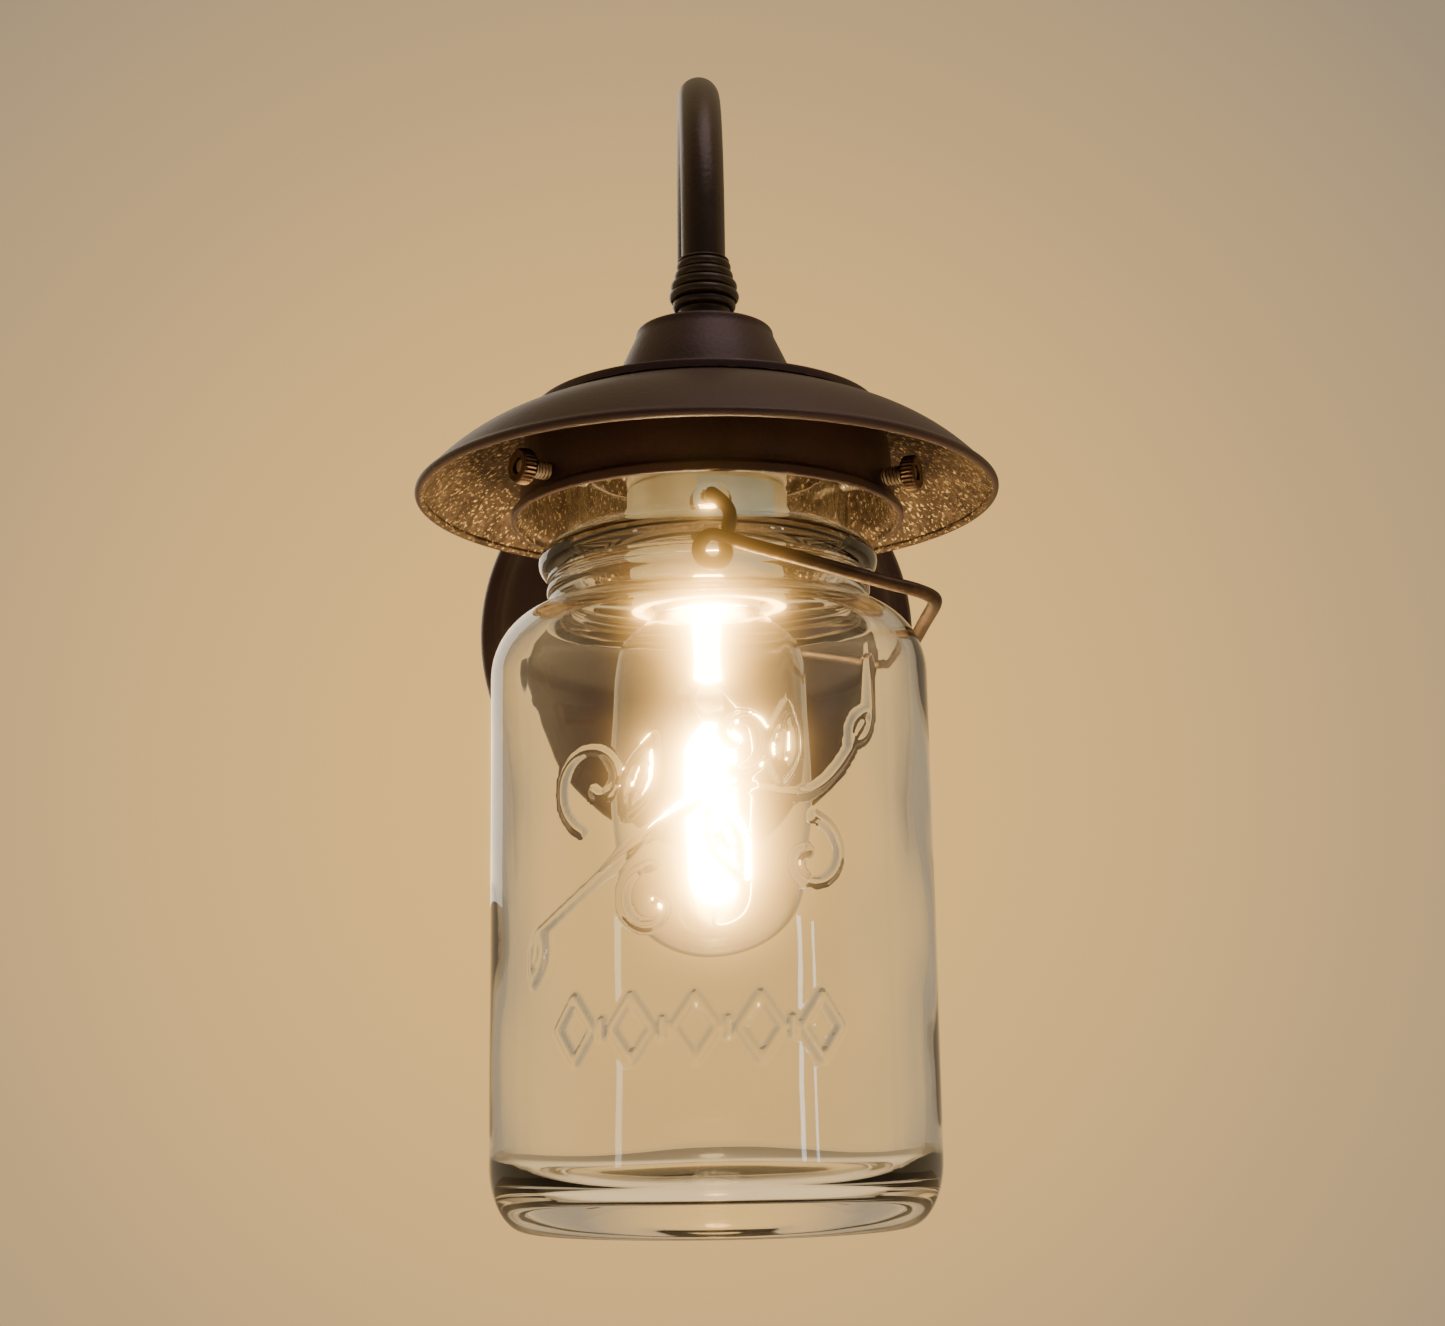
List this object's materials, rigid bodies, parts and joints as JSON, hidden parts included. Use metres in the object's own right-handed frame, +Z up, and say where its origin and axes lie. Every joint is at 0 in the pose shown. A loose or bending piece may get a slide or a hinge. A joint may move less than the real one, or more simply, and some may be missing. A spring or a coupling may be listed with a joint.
{
  "type": "gooseneck wall sconce with a jar shade",
  "caption": "Wall sconce with a bent tube arm, a saucer shade and a clear bail jar clamped in a screw fitter around an inner bulb.",
  "frame": {"origin": "centre of the backplate on the wall plane, where the wall holds the part", "axes": "+Z up, +Y into the wall, so the lamp stands out towards -Y, and +X to the viewer's right"},
  "size_m": [0.1332, 0.2116, 0.2846],
  "materials": {
    "bronze_plate": "satin dark bronze",
    "bronze_arm": "satin dark bronze",
    "bronze_fittings": "satin dark bronze",
    "bronze_shade": "satin bronze with gold flecks inside",
    "screw_steel": "dulled steel",
    "screw_bronze": "knurled bronze",
    "lever_steel": "aged dark wire",
    "zinc_steel": "zinc plated",
    "brass": "satin",
    "cap_aluminium": "rolled bright",
    "cream_plastic": "moulded cream",
    "black_insulation": "smooth black",
    "white_insulation": "smooth white",
    "connector_orange": "ribbed orange",
    "ground_green": "green plated",
    "jar_glass": "clear pressed glass",
    "bulb_glass": "clear blown glass",
    "capsule_glass": "clear quartz",
    "filament": "glowing tungsten"
  },
  "bodies": {
    "root": {"backplate": "bronze_plate", "crossbar": "zinc_steel", "stud_upper": "zinc_steel", "stud_lower": "zinc_steel", "cap_nut_upper": "bronze_fittings", "cap_nut_lower": "bronze_fittings", "arm_hub": "bronze_fittings", "arm_lock_washer": "zinc_steel", "arm_locknut": "zinc_steel", "ground_screw": "ground_green", "arm_tube": "bronze_arm", "lead_black": "black_insulation", "lead_white": "white_insulation", "wire_connector_black": "connector_orange", "wire_connector_white": "connector_orange", "coupling": "bronze_fittings", "socket_cup": "bronze_shade", "crown_plate": "bronze_shade", "saucer_shade": "bronze_shade", "fitter": "bronze_shade", "nipple": "zinc_steel", "nipple_nut": "zinc_steel", "socket_body": "cream_plastic", "socket_screw_shell": "brass", "socket_contact": "brass", "terminal_screw_brass": "brass", "terminal_screw_silver": "zinc_steel"},
    "jar": {"jar": "jar_glass"},
    "lever": {"lever_wire": "lever_steel"},
    "stud_left": {"thumbscrew_stud_left": "screw_steel"},
    "knob_left": {"thumbscrew_knob_left": "screw_bronze"},
    "stud_right": {"thumbscrew_stud_right": "screw_steel"},
    "knob_right": {"thumbscrew_knob_right": "screw_bronze"},
    "stud_back": {"thumbscrew_stud_back": "screw_steel"},
    "knob_back": {"thumbscrew_knob_back": "screw_bronze"},
    "bulb_button": {"bulb_contact": "zinc_steel"},
    "bulb": {"bulb_glass": "bulb_glass", "bulb_cap": "cap_aluminium", "bulb_insulator": "black_insulation", "bulb_stem": "capsule_glass", "bulb_capsule": "capsule_glass", "bulb_wire_long": "zinc_steel", "bulb_wire_short": "zinc_steel", "bulb_filament": "filament"}
  },
  "joints": [
    {"name": "jar_drop", "type": "slide", "parent": "root", "child": "jar", "axis": [0, 0, -1], "range_m": [0, 0.115]},
    {"name": "lever_swing", "type": "hinge", "parent": "jar", "child": "lever", "pos_m": [0, -0.145, -0.0086], "axis": [0, -1, 0], "range_deg": [0, 30]},
    {"name": "screw_left_travel", "type": "slide", "parent": "root", "child": "stud_left", "axis": [-0.8192, -0.5736, 0], "range_m": [0, 0.004]},
    {"name": "screw_left_turn", "type": "hinge", "parent": "stud_left", "child": "knob_left", "pos_m": [-0.03932, -0.17253, 0.0008], "axis": [-0.8192, -0.5736, 0], "range_deg": [0, 1800]},
    {"name": "screw_right_travel", "type": "slide", "parent": "root", "child": "stud_right", "axis": [0.9063, -0.4226, 0], "range_m": [0, 0.004]},
    {"name": "screw_right_turn", "type": "hinge", "parent": "stud_right", "child": "knob_right", "pos_m": [0.0435, -0.16529, 0.0008], "axis": [0.9063, -0.4226, 0], "range_deg": [0, 1800]},
    {"name": "screw_back_travel", "type": "slide", "parent": "root", "child": "stud_back", "axis": [-0.0872, 0.9962, 0], "range_m": [0, 0.004]},
    {"name": "screw_back_turn", "type": "hinge", "parent": "stud_back", "child": "knob_back", "pos_m": [-0.00418, -0.09718, 0.0008], "axis": [-0.0872, 0.9962, 0], "range_deg": [0, 1800]},
    {"name": "bulb_travel", "type": "slide", "parent": "root", "child": "bulb_button", "axis": [0, 0, -1], "range_m": [0, 0.0182]},
    {"name": "bulb_turn", "type": "hinge", "parent": "bulb_button", "child": "bulb", "pos_m": [0, -0.145, -0.02], "axis": [0, 0, -1], "range_deg": [0, 1800]}
  ],
  "couplings": [
    {"joint": "screw_left_turn", "follows": "screw_left_travel", "rad_per_m": 7853.9},
    {"joint": "screw_right_turn", "follows": "screw_right_travel", "rad_per_m": 7853.9},
    {"joint": "screw_back_turn", "follows": "screw_back_travel", "rad_per_m": 7853.9},
    {"joint": "bulb_travel", "follows": "bulb_turn", "m_per_rad": 0.00057773}
  ]
}
